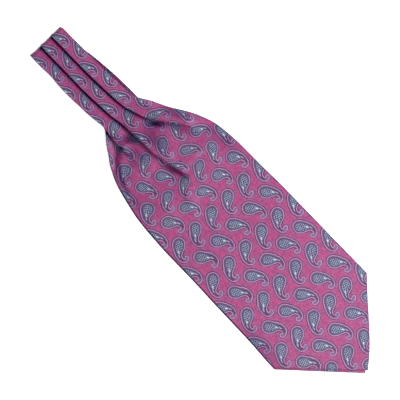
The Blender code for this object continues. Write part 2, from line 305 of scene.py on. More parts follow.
# A cloth's rim from its underside up: how far out, in thicknesses of the cloth, and how far up.
ROUNDED_EDGE = [(0.22, 0.15), (0.42, 0.36), (0.42, 0.64), (0.22, 0.85)]
TWO_PLY_EDGE = [
    (0.2, 0.06), (0.36, 0.2), (0.36, 0.34), (0.1, 0.5), (0.36, 0.66), (0.36, 0.8), (0.2, 0.94)
]


class DropPoint(NamedTuple):
    """One place on the middle line of a paisley drop, with the drop's half width there, in millimetres."""

    side: float
    down: float
    half_width: float


DROP = [
    DropPoint(-0.2, -1.8, 7.6),
    DropPoint(-0.1, 1.6, 7.4),
    DropPoint(-0.5, 7.2, 5.6),
    DropPoint(-0.2, 12.2, 3.7),
    DropPoint(1.6, 16.0, 2.8),
    DropPoint(5.0, 18.9, 2.1),
    DropPoint(8.4, 19.0, 2.0),
    DropPoint(10.2, 17.0, 2.1),
    DropPoint(10.1, 15.2, 2.0),
]

FILLING = [
    DropPoint(0.3, -1.2, 5.7),
    DropPoint(0.4, 2.0, 5.6),
    DropPoint(0.1, 7.0, 3.9),
    DropPoint(0.3, 12.0, 1.9),
    DropPoint(1.6, 15.4, 0.9),
]

# Where one drop of each kind has its head, along and across, and whether that kind is mirrored.
DROP_KINDS = [((297.2, 54.2), False), ((327.5, 63.9), True)]

# How much the pattern's rows lean, and how softly the lengths of a drop run into each other.
ROWS_LEAN = 0.0167
LOBE_BLEND = 0.8


class Line(NamedTuple):
    """A woven line in a drop: where its middle is, its half width and how soft its sides are, in
    millimetres."""

    middle: float
    half_width: float
    softness: float


PLUM_RING = Line(1.15, 0.6, 0.45)
OUTLINE = Line(0.0, 0.38, 0.3)
INNER_RING = Line(-1.7, 0.4, 0.35)
BEADED_RING = Line(0.0, 0.5, 0.3)
WHITE_STROKE = Line(-3.1, 0.45, 0.2)
WHITE_REACH = Line(8.7, 1.6, 0.4)
STREAK = Line(-6.1, 0.5, 0.3)
STREAK_REACH = Line(13.9, 1.6, 0.8)

# Distances between which a part of the pattern passes into the next.
NEAR_TO_GROUND = (1.6, 4.8)
INTO_DROP = (0.3, 0.7)
INTO_TAIL = (6.0, 8.5)
DOWN_TAIL = (10.0, 15.0)
INTO_CENTRE = (1.0, 1.5)

# The fine filling: beads round a drop, and radians a millimetre of the strokes, bars and ribs.
BEADS = 15.0
STROKES = 2.0
BARS = 1.7
RIBS = 1.9

# How far apart the lines of the twill are, in millimetres.
TWILL_LINE = 0.9

# The scales of the two noises on the UV map, and the ground's tints where it is mottled dark and pale.
FIBRE_NOISE = 48.0
CLOUD_NOISE = 22.0
DARK_TINTS = (0.68, 0.86, 0.9)
PALE_TINTS = (1.34, 1.15, 1.12)

# The stitches' mesh, and in millimetres how far they keep from a fold edge and how far each one slants.
STITCH_RINGS = 9
STITCH_SIDES = 8
CLEAR_OF_FOLDS = 0.8
STITCH_SLANT = 0.15

# The thread's twist, in radians a metre, and the scale of the noise of its fibres.
TWIST = 16000.0
THREAD_NOISE = 3000.0

# The studio, in metres: each light's name, place, size and power, the camera's place, and the height of
# the cloth at which the width of its view is measured. The sensor's width is in millimetres.
FLOOR_REACH = 4.0
FLOOR_DEPTH = 0.0002
FLOOR_GLOW = 0.75
WORLD_LIGHT = 0.25
LIGHTS = (
    ("key", (0.5, 1.15, 0.9), 0.7, 15.6),
    ("top", (0.8, 0.0, 1.1), 0.7, 9.6),
    ("fill", (-0.6, -1.4, 1.8), 1.8, 2.0),
)
CAMERA_PLACE = (-0.0107, -0.0017, 2.2)
CLOTH_HEIGHT = 0.003
SENSOR_WIDTH = 36.0


class CravatSizes(bpy.types.PropertyGroup):
    """Sizes of the cravat."""

    length: bpy.props.FloatProperty(
        name="Length", description="Length of the folded cravat",
        default=0.574, subtype="DISTANCE",
    )
    fold_axis: bpy.props.FloatProperty(
        name="Fold", description="How far the neckband's fold reaches in",
        default=0.0061, subtype="DISTANCE",
    )
    stitch_line: bpy.props.FloatProperty(
        name="Stitch line", description="Where the neckband's pleats end",
        default=0.131, subtype="DISTANCE",
    )
    pleats_end: bpy.props.FloatProperty(
        name="Pleats' end", description="Where the blade lies flat",
        default=0.262, subtype="DISTANCE",
    )
    cloth: bpy.props.FloatProperty(
        name="Cloth", description="Thickness of the doubled silk",
        default=0.0009, subtype="DISTANCE",
    )
    blade_under: bpy.props.FloatProperty(
        name="Hidden blade", description="Thickness of the hidden blade",
        default=0.0013, subtype="DISTANCE",
    )
    band_under: bpy.props.FloatProperty(
        name="Hidden neckband", description="Thickness of the hidden pleats",
        default=0.0026, subtype="DISTANCE",
    )
    band_edge_rise: bpy.props.FloatProperty(
        name="Hidden pleats' rise", description="Extra height beside the strips",
        default=0.0014, subtype="DISTANCE",
    )


class CravatPattern(bpy.types.PropertyGroup):
    """Spacing and colours of the woven paisley, and the colours of the painted shade in the folds."""

    repeat_along: bpy.props.FloatProperty(
        name="Repeat along", description="Distance to the next drop of its kind along",
        default=0.0607, subtype="DISTANCE",
    )
    repeat_across: bpy.props.FloatProperty(
        name="Repeat across", description="Distance to the next drop across",
        default=0.0285, subtype="DISTANCE",
    )
    ground: bpy.props.FloatVectorProperty(
        name="Ground", description="The silk's ground",
        default=(0.41, 0.052, 0.20), subtype="COLOR",
    )
    near_drops: bpy.props.FloatVectorProperty(
        name="Near the drops", description="The ground close to the drops",
        default=(0.33, 0.085, 0.245), subtype="COLOR",
    )
    lavender: bpy.props.FloatVectorProperty(
        name="Lavender", description="The drops' outline",
        default=(0.56, 0.34, 0.62), subtype="COLOR",
    )
    tail: bpy.props.FloatVectorProperty(
        name="Tail", description="Filling of a drop's curled tail",
        default=(0.27, 0.15, 0.30), subtype="COLOR",
    )
    mauve: bpy.props.FloatVectorProperty(
        name="Mauve", description="Between a drop's outline and its filling",
        default=(0.15, 0.068, 0.18), subtype="COLOR",
    )
    plum: bpy.props.FloatVectorProperty(
        name="Plum", description="Thin line round each drop",
        default=(0.085, 0.014, 0.08), subtype="COLOR",
    )
    navy: bpy.props.FloatVectorProperty(
        name="Navy", description="Dark lines and dots",
        default=(0.02, 0.014, 0.055), subtype="COLOR",
    )
    steel: bpy.props.FloatVectorProperty(
        name="Steel blue", description="The drops' filling",
        default=(0.125, 0.125, 0.235), subtype="COLOR",
    )
    pale: bpy.props.FloatVectorProperty(
        name="Pale blue", description="Fine strokes in the drops",
        default=(0.35, 0.39, 0.56), subtype="COLOR",
    )
    white: bpy.props.FloatVectorProperty(
        name="White", description="The short bright stroke",
        default=(0.85, 0.86, 0.90), subtype="COLOR",
    )
    # Painted shade: the silk's colours are multiplied by the first of these beside the folds and by the
    # second deep in them.
    half_shade: bpy.props.FloatVectorProperty(
        name="Half shade", description="What the colours are dimmed to beside the folds",
        default=(0.51, 0.35, 0.57), subtype="COLOR",
    )
    deep_fold_shade: bpy.props.FloatVectorProperty(
        name="In folds", description="What those are dimmed to deep in the folds",
        default=(0.16, 0.03, 0.18), subtype="COLOR",
    )


class CravatSewing(bpy.types.PropertyGroup):
    """The stitches that hold the pleats."""

    length: bpy.props.FloatProperty(
        name="Stitch", description="Length of a stitch",
        default=0.0021, subtype="DISTANCE",
    )
    spacing: bpy.props.FloatProperty(
        name="Spacing", description="Distance to the next stitch",
        default=0.0034, subtype="DISTANCE",
    )
    thread: bpy.props.FloatProperty(
        name="Thread", description="Thickness of the thread",
        default=0.00032, subtype="DISTANCE",
    )


class CravatStudio(bpy.types.PropertyGroup):
    """The studio around the cravat."""

    floor: bpy.props.FloatVectorProperty(
        name="Floor", description="Colour of the floor",
        default=(0.9, 0.9, 0.9), subtype="COLOR",
    )
    view_width: bpy.props.FloatProperty(
        name="View width", description="Width that the picture shows",
        default=0.497, subtype="DISTANCE",
    )
    turn: bpy.props.FloatProperty(
        name="Turn", description="How far the cravat is turned in the picture",
        default=math.radians(45.7), subtype="ANGLE",
    )


def smooth_step(value, low, high):
    """0 below low, 1 above high, and an even rise between."""
    t = np.clip((np.asarray(value, float) - low) / (high - low), 0.0, 1.0)
    return t * t * (3.0 - 2.0 * t)


def column(rows, name, along):
    """One column of a table at any distance along, on a curve that never overshoots its rows."""
    xs = np.array([row.along for row in rows], float)
    ys = np.array([getattr(row, name) for row in rows], float)
    slopes = np.diff(ys) / np.diff(xs)
    before, after = slopes[:-1], slopes[1:]
    tangents = np.zeros_like(ys)
    rising_through = before * after > 0
    before, after = before[rising_through], after[rising_through]
    tangents[1:-1][rising_through] = 2.0 * before * after / (before + after)
    along = np.clip(np.asarray(along, float), xs[0], xs[-1])
    k = np.clip(np.searchsorted(xs, along) - 1, 0, len(xs) - 2)
    step = xs[k + 1] - xs[k]
    t = (along - xs[k]) / step
    ends = ys[k] * (1 + 2 * t) * (1 - t) ** 2 + ys[k + 1] * t * t * (3 - 2 * t)
    return ends + step * (tangents[k] * t * (1 - t) ** 2 + tangents[k + 1] * t * t * (t - 1))


def crease_height(crease, x, y, samples=25):
    """Height that a roll or trough adds at a point: rounded across its line, fading at both its ends."""
    t = np.linspace(0.0, 1.0, samples)[:, None]
    start, bend, end = (np.array(place, float) for place in (crease.start, crease.bend, crease.end))
    line = start * (1 - t) ** 2 + bend * 2 * t * (1 - t) + end * t * t
    distance = np.hypot(np.asarray(x)[..., None] - line[:, 0], np.asarray(y)[..., None] - line[:, 1])
    fade = np.sin(math.pi * np.linspace(0.0, 1.0, samples))[distance.argmin(axis=-1)]
    return crease.height * fade * np.exp(-((distance.min(axis=-1) / crease.half_width) ** 2))


def under_top(sizes, x, y):
    """Top of the hidden half: its pleats stack up in the neckband and thin out down the blade."""
    stitch_line, blade, band = sizes.stitch_line / MM, sizes.blade_under / MM, sizes.band_under / MM
    change, before_stitches = 12.0, stitch_line - 1.0
    from_middle = np.abs(y - STACK_MIDDLE)
    right, left = smooth_step(y, *RIGHT_OF_STRIPS), 1.0 - smooth_step(y, *LEFT_OF_STRIPS)
    in_band = smooth_step(x, *BAND_START) * (1.0 - smooth_step(x, stitch_line - change, stitch_line))
    edges = sizes.band_edge_rise / MM * (right + left) * in_band
    down_blade = smooth_step(x, stitch_line, STACK_END[1])
    in_blade = smooth_step(x, before_stitches, stitch_line + change)
    to_sides = smooth_step(from_middle, *SIDES_OF_STACK) * in_blade
    return blade + (band - blade) * (1.0 - down_blade) * (1.0 - to_sides) + edges


def resting_height(sizes, x, y):
    """Middle of the upper cloth where it lies singly on the hidden half, with its rolls and creases."""
    blade, band = sizes.blade_under / MM, sizes.band_under / MM
    height = blade + (band - blade) * (1.0 - smooth_step(x, *STACK_END)) + GAP + RESTING_MIDDLE
    lift = sum(crease_height(roll, x, y) for roll in ROLLS)
    folds = sum(crease_height(crease, x, y) for crease in CREASES)
    return height + np.maximum(lift + folds, DEEPEST_TROUGH)


def strip_shade(across, fold, opened):
    """Painted shade on a strip beside the fold edge that lies over it: 1 beneath the edge, and past it
    fading quickly at first and then slowly."""
    wholly_dark, quick_share, slow_fade = 2.4, 0.84, 7.0
    quick_fade = 1.2 + 2.0 * opened
    past = np.clip(fold - across - wholly_dark, 0.0, None)
    return quick_share * np.exp(-past / quick_fade) + (1.0 - quick_share) * np.exp(-past / slow_fade)


def pleat_path(fold, depth, radius, spread):
    """Where a pleat starts, and its steps across and up: round the fold edge, back beneath it, and
    round again. An open pleat turns less, and a flat one runs straight on."""
    turn = math.pi * min(1.0, depth / FULL_TURN_DEPTH)
    arc = max(radius * turn, spread)
    run = max(depth, spread)
    half_steps = (np.arange(TURN_STEPS) + 0.5) / TURN_STEPS * turn
    angles = np.concatenate([half_steps, np.full(RUN_STEPS, turn), turn - half_steps])
    half = turn / TURN_STEPS / 2
    chord = arc / TURN_STEPS * (math.sin(half) / half if half > 0 else 1.0)
    lengths = np.concatenate([
        np.full(TURN_STEPS, chord), np.full(RUN_STEPS, run / RUN_STEPS), np.full(TURN_STEPS, chord)
    ])
    reach = arc / turn * math.sin(min(turn, math.pi / 2)) if turn > 0 else 0.0
    return fold + reach, -np.cumsum(lengths * np.cos(angles)), -np.cumsum(lengths * np.sin(angles))


def section_line(along):
    """The upper cloth across one section, from its right edge to its left: points across and up, and
    how dark each is painted with shade in its pleat."""
    row = Section(along, *(float(column(SECTIONS, name, along)) for name in Section._fields[1:]))
    spread = PLEAT_SPREAD + BLADE_SPREAD * float(smooth_step(along, *BLADE_START))
    across, up, drops, shades = [np.array([row.right])], [np.array([0.0])], [], [np.array([0.0])]
    opened = float(np.clip((row.radius - PRESSED_RADIUS) / OPENING, 0.0, 1.0))
    pleats = ((row.fold_a, row.depth_a), (row.fold_b, row.depth_b), (row.fold_c, row.depth_c))
    over, dark = row.right, 0.0
    for (fold, depth), steps, (none, full) in zip(pleats, STRIP_STEPS, DARK_FROM_DEPTHS):
        start, side, fall = pleat_path(fold, depth, row.radius, spread)
        level = up[-1][-1]
        across += [np.linspace(across[-1][-1], start, steps + 1)[1:], start + side]
        up += [np.full(steps, level), level + fall]
        # Painted shade: a strip darker beside the fold edge over it, and the pleat's inside darker still.
        shades.append(dark * strip_shade(across[-2], over, opened))
        over, dark = fold, min(max((depth - none) / (full - none), 0.0), 1.0)
        shades.append(dark * np.clip(np.linspace(0.0, DARK_RISE, len(side)), 0.0, 1.0))
        drops.append((fold, depth, -fall[-1]))
    last = np.linspace(across[-1][-1], row.left + 2 * EDGE_LINE, STRIP_STEPS[-1] - 1)[1:]
    across.append(np.append(last, [row.left + EDGE_LINE, row.left]))
    up.append(np.full(STRIP_STEPS[-1], up[-1][-1]))
    # A painted line of shade along the blade's left edge.
    edge = np.clip(2.0 - (across[-1] - row.left) / EDGE_LINE, 0.0, 1.0)
    edge *= float(smooth_step(along, *EDGE_START))
    shades.append(np.maximum(dark * strip_shade(across[-1], over, opened), EDGE_SHADE * edge))
    across, up, shades = np.concatenate(across), np.concatenate(up), np.concatenate(shades)
    return across, level_pleats(across, up, drops, row, opened), shades


def level_pleats(across, up, drops, row, opened):
    """Let each strip down on what lies beneath: evenly like shingles where the pleats are pressed
    flat, and just past each inner fold where they have opened into tubes."""
    slope = 6.0 + 8.0 * opened
    total = sum(drop for _, _, drop in drops)
    even = total * (across - row.left) / (row.right - row.left)
    stepped = sum(
        drop * smooth_step(across, fold + depth, fold + depth + slope) for fold, depth, drop in drops
    )
    up = up + total - (1.0 - opened) * even - opened * stepped
    return up - up.min()


def pointed_row(sizes, part, shares, edges, hem):
    """One row of a blade's lower end, which turns into the pointed hem as part goes from 0 to 1.

    shares are the columns' places across, from 0 at the right edge to 1 at the left."""
    first = sizes.pleats_end / MM
    right, left = float(edges(hem.corner_right)[0]), float(edges(hem.corner_left)[1])
    point = (right - hem.point_across) / (right - left)
    nearest = shares[np.abs(shares - point).argmin()]
    to_point = np.interp(shares, [0.0, nearest, 1.0], [0.0, point, 1.0])
    shares = shares + (to_point - shares) * part
    corners = [hem.corner_right, hem.point_along, hem.corner_left]
    to_corner = np.where(shares < point, 1.0 - shares / point, (shares - point) / (1.0 - point))
    bulge = np.where(shares < point, hem.bulge_right, hem.bulge_left)
    bulge = bulge * np.sin(math.pi * (1.0 - to_corner) ** BULGE_LEAN)
    x = first + part * (np.interp(shares, [0.0, point, 1.0], corners) + bulge - first)
    right, left = edges(x)
    return x, right - shares * (right - left)


def upper_edges(x):
    """Right and left edge of the upper cloth."""
    return column(SECTIONS, "right", x), column(SECTIONS, "left", x)


def under_edges(sizes, x):
    """Right and left edge of the hidden half."""
    right, left = upper_edges(x)
    outer_fold = np.where(np.asarray(x) < sizes.stitch_line / MM, column(SECTIONS, "fold_c", x), left)
    return right + column(PEEKS, "right", x), outer_fold - column(PEEKS, "left", x)


def cloth_places(middle):
    """Where each point of the upper cloth is in the woven pattern, in millimetres along and across."""
    x, y = middle[..., 0], middle[..., 1]
    across = np.empty_like(x)
    first = 0
    strips = [column(LIES, name, x[:, 0]) for name in ("strip_a", "strip_b", "strip_c")]
    strips.append(strips[-1] - LAST_STRIP_MOVE * column(SECTIONS, "depth_c", x[:, 0]))
    for k, (steps, moved) in enumerate(zip(STRIP_STEPS, strips)):
        last = first + steps + (k == 0)
        across[:, first:last] = y[:, first:last] + moved[:, None]
        if k:
            shares = np.linspace(0.0, 1.0, PLEAT_POINTS + 2)[1:-1]
            start, end = across[:, first - PLEAT_POINTS - 1, None], across[:, first, None]
            across[:, first - PLEAT_POINTS:first] = start + (end - start) * shares
        first = last + PLEAT_POINTS
    from_middle = np.clip(y, -BOW_REACH, BOW_REACH) - BOW_MIDDLE
    along = x - column(LIES, "taken_up", x) + column(LIES, "bow", x) * BOW_UNIT * from_middle**2
    return np.stack([along, across], axis=-1)


def rim_loop(rows, columns):
    """Row and column of each point round a grid's four edges."""
    at_row = lambda r: [(r, c) for c in range(columns)]
    at_column = lambda c: [(r, c) for r in range(rows)]
    loop = at_row(0)[:-1] + at_column(columns - 1)[:-1] + at_row(rows - 1)[:0:-1] + at_column(0)[:0:-1]
    return np.array(loop)


def way_out(middle, standing):
    """The way out of the cloth at the edges of its grid, as long as the rim stands out there."""
    away = np.zeros_like(middle)
    every = slice(None)
    for edge, inner, share in (
        ((0, every), (1, every), standing[0]),
        ((-1, every), (-2, every), standing[1]),
        ((every, 0), (every, 1), standing[2]),
        ((every, -1), (every, -2), standing[3]),
    ):
        step = middle[edge] - middle[inner]
        length = np.linalg.norm(step, axis=-1, keepdims=True)
        away[edge] += share * step / np.maximum(length, SHORTEST)
    return away


def add_piece(sizes, name, points, faces):
    """A smoothly shaded mesh in the scene, from points in millimetres that count X from the fold."""
    points = (np.array(points) - [sizes.length / MM / 2, 0.0, 0.0]) * MM
    mesh = bpy.data.meshes.new(name)
    mesh.from_pydata(points.tolist(), [], faces)
    mesh.shade_smooth()
    piece = bpy.data.objects.new(name, mesh)
    bpy.context.collection.objects.link(piece)
    return piece


def closed_cloth(sizes, name, sides, rim, places, shades, standing=(1.0, 1.0, 1.0, 1.0)):
    """One closed wall between two grids of points, its sides, with a rim round its four edges.

    places are the points' places on the flat cloth, and shades the painted shade of the two sides; the
    rim is painted with shade too. standing says how far the rim stands out at the first row, last row,
    right and left."""
    top, bottom = sides
    rows, columns = top.shape[:2]
    loop = rim_loop(rows, columns)
    at_rim = tuple(loop.T)
    rim_top, rim_bottom = top[at_rim], bottom[at_rim]
    rim_away = way_out((top + bottom) / 2, standing)[at_rim]
    edge = sizes.cloth / MM
    points = [top.reshape(-1, 3), bottom.reshape(-1, 3)]
    points += [rim_bottom + (rim_top - rim_bottom) * height + rim_away * out * edge for out, height in rim]
    flat_places = [places.reshape(-1, 2)] * 2 + [places[at_rim]] * len(rim)
    under = rows * columns
    index = np.arange(under).reshape(rows, columns)
    corners = [index[:-1, :-1], index[:-1, 1:], index[1:, 1:], index[1:, :-1]]
    quads = np.stack(corners, axis=-1).reshape(-1, 4)
    levels = [under + index[at_rim]]
    levels += [2 * under + k * len(loop) + np.arange(len(loop)) for k in range(len(rim))]
    levels.append(index[at_rim])
    faces = [quads, under + quads[:, ::-1]]
    for lower, upper in zip(levels, levels[1:]):
        faces.append(np.stack([lower, np.roll(lower, -1), np.roll(upper, -1), upper], axis=-1))
    faces = np.concatenate(faces)
    piece = add_piece(sizes, name, np.concatenate(points), faces.tolist())
    uv = piece.data.uv_layers.new(name="cloth")
    uv.data.foreach_set("uv", (np.concatenate(flat_places)[faces.reshape(-1)] / UV_SPAN).reshape(-1))
    # Painted shade: the rim's own points dark, and each side's edge points half as dark.
    rim_dark = np.full(len(rim) * len(loop), RIM_SHADE)
    dark = np.concatenate([*(shade.reshape(-1) for shade in shades), rim_dark])
    dark[index[at_rim]] = np.maximum(dark[index[at_rim]], RIM_SHADE / 2)
    piece.data.attributes.new("shade", "FLOAT", "POINT").data.foreach_set("value", dark)
    return piece


def wall_sides(sizes, middle):
    """The two faces of a wall of cloth, half its thickness to each side of the grid of its middle."""
    down = np.gradient(middle, axis=0)
    across = np.gradient(middle, axis=1)
    normal = np.cross(across, down)
    normal /= np.maximum(np.linalg.norm(normal, axis=-1, keepdims=True), SHORTEST)
    half = sizes.cloth / MM / 2
    return middle + normal * half, middle - normal * half


def upper_row(sizes, along):
    """Middle of the upper cloth at one section, pleats and rolls and all, and its painted shade."""
    across, up, shade = section_line(along)
    x = np.full_like(across, along)
    return np.stack([x, across, resting_height(sizes, x, across) + up, shade], axis=-1)


def upper_middle(sizes):
    """The middle of the whole upper cloth, from where it turns under at the fold to the blade's point,
    and how dark each place is painted with shade in its pleats and hollows."""
    fold, stitch, flat = sizes.fold_axis / MM, sizes.stitch_line / MM, sizes.pleats_end / MM
    axis_up = sizes.band_under / MM + GAP / 2
    first = upper_row(sizes, fold)
    out = first[:, 2] - axis_up
    rows = []
    for angle in np.radians(np.linspace(*FOLD_ANGLES, FOLD_ROWS)):
        x = fold - out * math.sin(angle)
        reach = out if angle < math.pi / 2 else np.full_like(out, TUCK_REACH)
        # Painted shade, deeper round the fold's turn.
        shade = np.clip(first[:, 3] + FOLD_SHADE * math.sin(angle), 0.0, 1.0)
        rows.append(np.stack([x, first[:, 1], axis_up + reach * math.cos(angle), shade], axis=-1))
    rows += [upper_row(sizes, along) for along in np.linspace(fold, stitch, BAND_ROWS)]
    rows += [upper_row(sizes, along) for along in np.linspace(stitch, flat, FLARE_ROWS)[1:]]
    for part in np.linspace(0.0, 1.0, BLADE_ROWS)[1:]:
        across, _, shade = section_line(flat + part * (sizes.length / MM - flat))
        shares = (across[0] - across) / (across[0] - across[-1])
        x, y = pointed_row(sizes, part, shares, upper_edges, FRONT_HEM)
        rows.append(np.stack([x, y, resting_height(sizes, x, y), shade], axis=-1))
    rows = np.array(rows)
    return rows[..., :3], np.maximum(rows[..., 3], hollow_shade(rows[..., 0], rows[..., 1]))


def hollow_shade(x, y):
    """Painted shade: how dark the cloth is painted in its hollows, beside its folds and in broad bands."""
    return np.max([crease_height(shadow, x, y) for shadow in SHADOWS], axis=0)


class Weave:
    """Writes a material's nodes as sums."""

    def __init__(self, tree):
        self.tree = tree

    def put(self, socket, value):
        if isinstance(value, bpy.types.NodeSocket):
            self.tree.links.new(value, socket)
        else:
            socket.default_value = value

    def sum(self, operation, *values, clamp=False):
        node = self.tree.nodes.new("ShaderNodeMath")
        node.operation, node.use_clamp = operation, clamp
        for socket, value in zip(node.inputs, values):
            self.put(socket, value)
        return node.outputs[0]

    def times(self, value, by):
        return self.sum("MULTIPLY", value, by)

    def scaled(self, value, by, plus, clamp=False):
        """The value times by, plus plus."""
        return self.sum("MULTIPLY_ADD", value, by, plus, clamp=clamp)

    def smooth(self, value, low, high):
        node = self.tree.nodes.new("ShaderNodeMapRange")
        node.interpolation_type = "SMOOTHSTEP"
        for name, given in (("Value", value), ("From Min", low), ("From Max", high)):
            self.put(node.inputs[name], given)
        return node.outputs["Result"]

    def line(self, value, line):
        """1 where the value is in a Line, and 0 further away."""
        away = self.sum("ABSOLUTE", self.sum("SUBTRACT", value, line.middle))
        past = self.smooth(away, line.half_width - line.softness, line.half_width + line.softness)
        return self.sum("SUBTRACT", 1.0, past)

    def wave(self, value, low, high):
        return self.smooth(self.sum("COSINE", value), low, high)

    def colour(self, share, first, second, blend="MIX"):
        node = self.tree.nodes.new("ShaderNodeMix")
        node.data_type, node.blend_type = "RGBA", blend
        self.put(node.inputs["Factor"], share)
        for name, given in (("A", first), ("B", second)):
            socket = next(s for s in node.inputs if s.name == name and s.type == "RGBA")
            self.put(socket, given if isinstance(given, bpy.types.NodeSocket) else (*given, 1.0))
        return next(s for s in node.outputs if s.type == "RGBA")

    def noise(self, vector, scale, detail=2.0):
        node = self.tree.nodes.new("ShaderNodeTexNoise")
        self.put(node.inputs["Vector"], vector)
        node.inputs["Scale"].default_value = scale
        node.inputs["Detail"].default_value = detail
        return node.outputs["Fac"]


def drop_distance(weave, points, side, down):
    """Distance outside a drop's outline, below 0 inside it."""
    whole = None
    for first, second in zip(points, points[1:]):
        run_side, run_down = second.side - first.side, second.down - first.down
        length_squared = run_side**2 + run_down**2
        from_side = weave.sum("SUBTRACT", side, first.side)
        from_down = weave.sum("SUBTRACT", down, first.down)
        share = weave.times(from_side, run_side / length_squared)
        share = weave.scaled(from_down, run_down / length_squared, share, clamp=True)
        off_side = weave.scaled(share, -run_side, from_side)
        off_down = weave.scaled(share, -run_down, from_down)
        squared = weave.scaled(off_side, off_side, weave.times(off_down, off_down))
        width = weave.scaled(share, second.half_width - first.half_width, first.half_width)
        distance = weave.sum("SUBTRACT", weave.sum("SQRT", squared), width)
        whole = distance if whole is None else weave.sum("SMOOTH_MIN", whole, distance, LOBE_BLEND)
    return whole


def drop_group():
    """A node group that gives the distance to a drop's outline."""
    group = bpy.data.node_groups.new("paisley_drop", "ShaderNodeTree")
    for name, side in (("Side", "INPUT"), ("Down", "INPUT"), ("Distance", "OUTPUT")):
        group.interface.new_socket(name, in_out=side, socket_type="NodeSocketFloat")
    given, result = group.nodes.new("NodeGroupInput"), group.nodes.new("NodeGroupOutput")
    distance = drop_distance(Weave(group), DROP, given.outputs["Side"], given.outputs["Down"])
    group.links.new(distance, result.inputs["Distance"])
    return group


def drop_places(weave, pattern, along, across, start, mirrored):
    """Places in the nearest drop of one kind: to its side and down from its head, in millimetres."""
    repeat_along, repeat_across = pattern.repeat_along / MM, pattern.repeat_across / MM
    lean, centre_along, centre_across = 0.45, 8.0, -1.2
    x = weave.sum("SUBTRACT", along, start[0] + centre_along)
    x = weave.sum("ADD", weave.sum("WRAP", x, repeat_along / 2, -repeat_along / 2), centre_along)
    y = weave.sum("SUBTRACT", across, start[1])
    if mirrored:
        y = weave.times(y, -1.0)
    leant = weave.scaled(x, lean, weave.sum("SUBTRACT", y, centre_across))
    leant = weave.sum("WRAP", leant, repeat_across / 2, -repeat_across / 2)
    y = weave.sum("ADD", weave.scaled(x, -lean, leant), centre_across)
    half = math.sqrt(0.5)
    return weave.times(weave.sum("ADD", x, y), half), weave.times(weave.sum("SUBTRACT", x, y), half)


def nearest_drop(weave, pattern, along, across):
    """Place to the side and down in the nearest drop of either kind, and the distance to its outline."""
    group = drop_group()
    kinds = []
    for start, mirrored in DROP_KINDS:
        side, down = drop_places(weave, pattern, along, across, start, mirrored)
        node = weave.tree.nodes.new("ShaderNodeGroup")
        node.node_tree = group
        weave.put(node.inputs["Side"], side)
        weave.put(node.inputs["Down"], down)
        kinds.append((side, down, node.outputs["Distance"]))
    nearer = weave.sum("LESS_THAN", kinds[1][2], kinds[0][2])
    return [weave.scaled(nearer, weave.sum("SUBTRACT", b, a), a) for a, b in zip(*kinds)]


def ground_colour(weave, pattern, place, uneven, distance):
    """The mottled ground, which is duller near the drops."""
    clouds = weave.sum("SUBTRACT", weave.noise(place, CLOUD_NOISE), 0.5)
    mottled = weave.scaled(clouds, 2.4, weave.scaled(uneven, 3.4, 0.5), clamp=True)
    far = weave.smooth(distance, *NEAR_TO_GROUND)
    tinted = lambda colour, tints: tuple(c * k for c, k in zip(colour, tints))
    pale, dark = (
        weave.colour(far, tinted(pattern.near_drops, tints), tinted(pattern.ground, tints))
        for tints in (PALE_TINTS, DARK_TINTS)
    )
    return weave.colour(mottled, dark, pale)


def drop_colour(weave, pattern, ground, uneven, side, down, distance):
    """The drops' rings, filling and strokes, woven one after another over the ground."""
    turn = weave.sum("ARCTAN2", side, weave.times(down, -1.0))
    filling = weave.scaled(uneven, 0.5, drop_distance(weave, FILLING, side, down))
    inward, deep = weave.times(distance, -1.0), weave.times(filling, -1.0)
    beads = weave.wave(weave.times(turn, BEADS), -0.2, 0.6)
    strokes = weave.times(weave.scaled(down, 0.3, side), STROKES)
    strokes = weave.sum("COSINE", weave.scaled(uneven, 5.0, strokes))
    bars = weave.sum("COSINE", weave.times(weave.scaled(side, -0.5, down), BARS))
    checks = weave.times(strokes, bars)
    ribs = weave.wave(weave.times(weave.scaled(side, 0.6, down), RIBS), -0.1, 0.5)
    tail, centre = weave.smooth(side, *INTO_TAIL), weave.smooth(deep, *INTO_CENTRE)
    tail_ribs = weave.times(tail, weave.scaled(ribs, 0.5, 0.4))
    plum_ring = weave.times(weave.line(distance, PLUM_RING), weave.scaled(tail, -0.5, 1.0))
    outline = weave.times(weave.line(distance, OUTLINE), weave.scaled(uneven, 1.2, 0.85, clamp=True))
    inner_ring = weave.times(weave.line(distance, INNER_RING), weave.smooth(down, *DOWN_TAIL))
    beaded_ring = weave.times(weave.line(filling, BEADED_RING), weave.scaled(beads, 0.7, 0.3))
    white = weave.line(weave.scaled(down, -0.35, side), WHITE_STROKE)
    streak = weave.line(weave.scaled(down, -0.5, side), STREAK)
    colour = ground
    for share, tint in (
        (plum_ring, pattern.plum),
        (weave.smooth(inward, *INTO_DROP), pattern.mauve),
        (outline, pattern.lavender),
        (inner_ring, pattern.plum),
        (weave.times(weave.smooth(inward, 0.0, 0.6), tail_ribs), pattern.tail),
        (weave.smooth(deep, -0.1, 0.3), pattern.steel),
        (beaded_ring, pattern.navy),
        (weave.times(centre, weave.smooth(checks, 0.05, 0.4)), pattern.pale),
        (weave.times(centre, weave.smooth(weave.times(checks, -1.0), 0.05, 0.3)), pattern.navy),
        (weave.times(white, weave.line(down, WHITE_REACH)), pattern.white),
        (weave.times(streak, weave.line(down, STREAK_REACH)), pattern.lavender),
    ):
        colour = weave.colour(share, colour, tuple(tint))
    return colour


